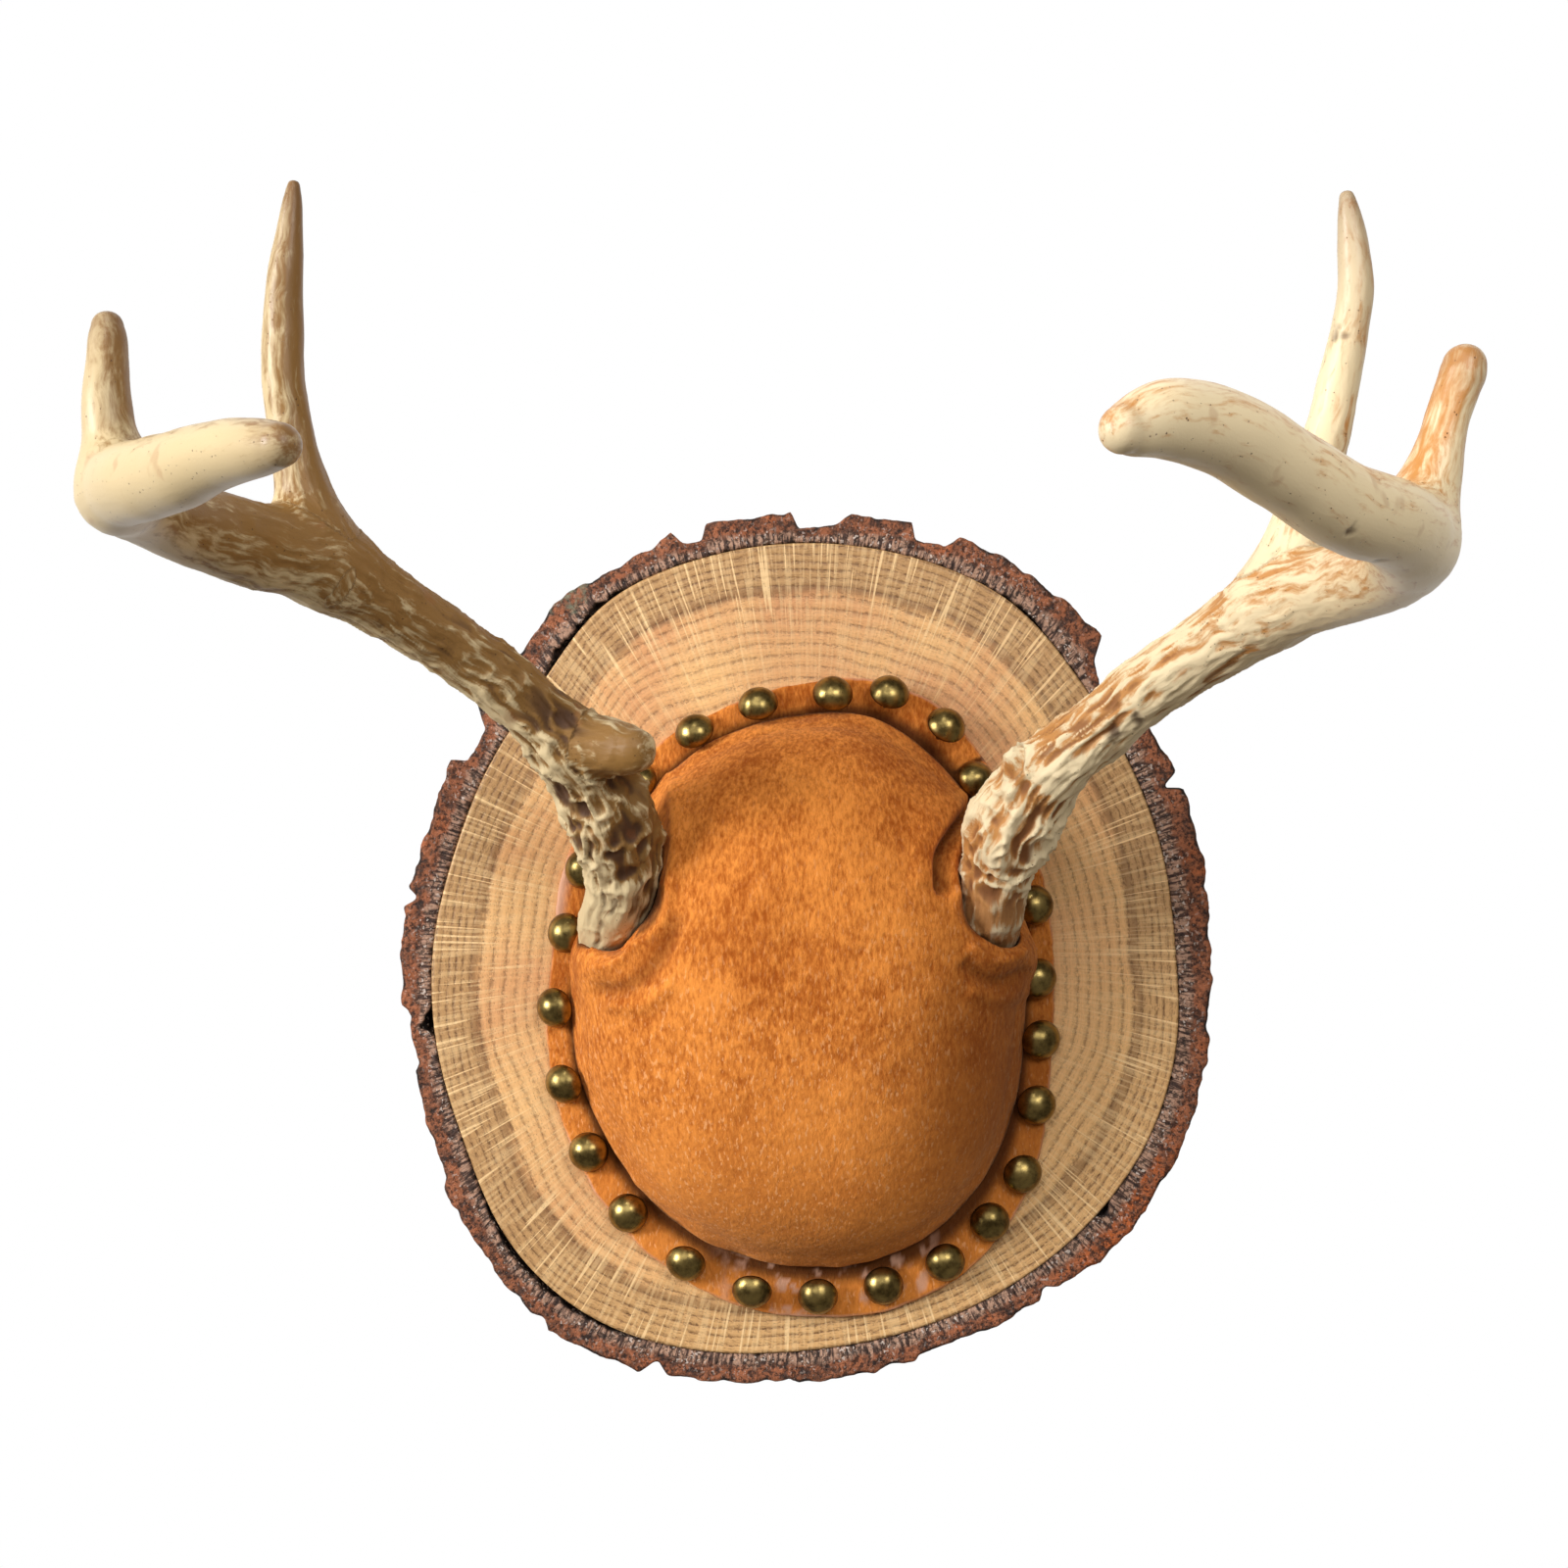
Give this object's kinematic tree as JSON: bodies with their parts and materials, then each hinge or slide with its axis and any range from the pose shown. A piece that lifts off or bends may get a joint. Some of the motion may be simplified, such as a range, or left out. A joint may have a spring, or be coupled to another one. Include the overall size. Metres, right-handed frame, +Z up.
{
  "type": "antler mounting plaque",
  "caption": "Wall plaque: a slice of oak with its bark on, a suede dome edged with domed upholstery nails on its face, and small deer antlers standing out of the dome.",
  "frame": {"origin": "centre of the slice's flat back, which lies against the wall", "axes": "+Y into the wall, -Y out towards the viewer, +Z up, +X to the viewer's right"},
  "size_m": [0.3006, 0.2651, 0.3103],
  "materials": {
    "oak": "varnished end grain, satin",
    "bark": "dry oak bark, rough",
    "suede": "tan suede, napped",
    "antique_brass": "antique brass, polished domes",
    "antler": "natural antler bone, satin, polished on the tines"
  },
  "bodies": {
    "root": {"wood_slice": "oak", "bark_ring": "bark", "suede_cap": "suede", "suede_border": "suede", "left_antler": "antler", "right_antler": "antler", "nail_01": "antique_brass", "nail_02": "antique_brass", "nail_03": "antique_brass", "nail_04": "antique_brass", "nail_05": "antique_brass", "nail_06": "antique_brass", "nail_07": "antique_brass", "nail_08": "antique_brass", "nail_09": "antique_brass", "nail_10": "antique_brass", "nail_11": "antique_brass", "nail_12": "antique_brass", "nail_13": "antique_brass", "nail_14": "antique_brass", "nail_15": "antique_brass", "nail_16": "antique_brass", "nail_17": "antique_brass", "nail_18": "antique_brass", "nail_19": "antique_brass", "nail_20": "antique_brass", "nail_21": "antique_brass", "nail_22": "antique_brass", "nail_23": "antique_brass", "nail_24": "antique_brass", "nail_25": "antique_brass"}
  },
  "joints": []
}
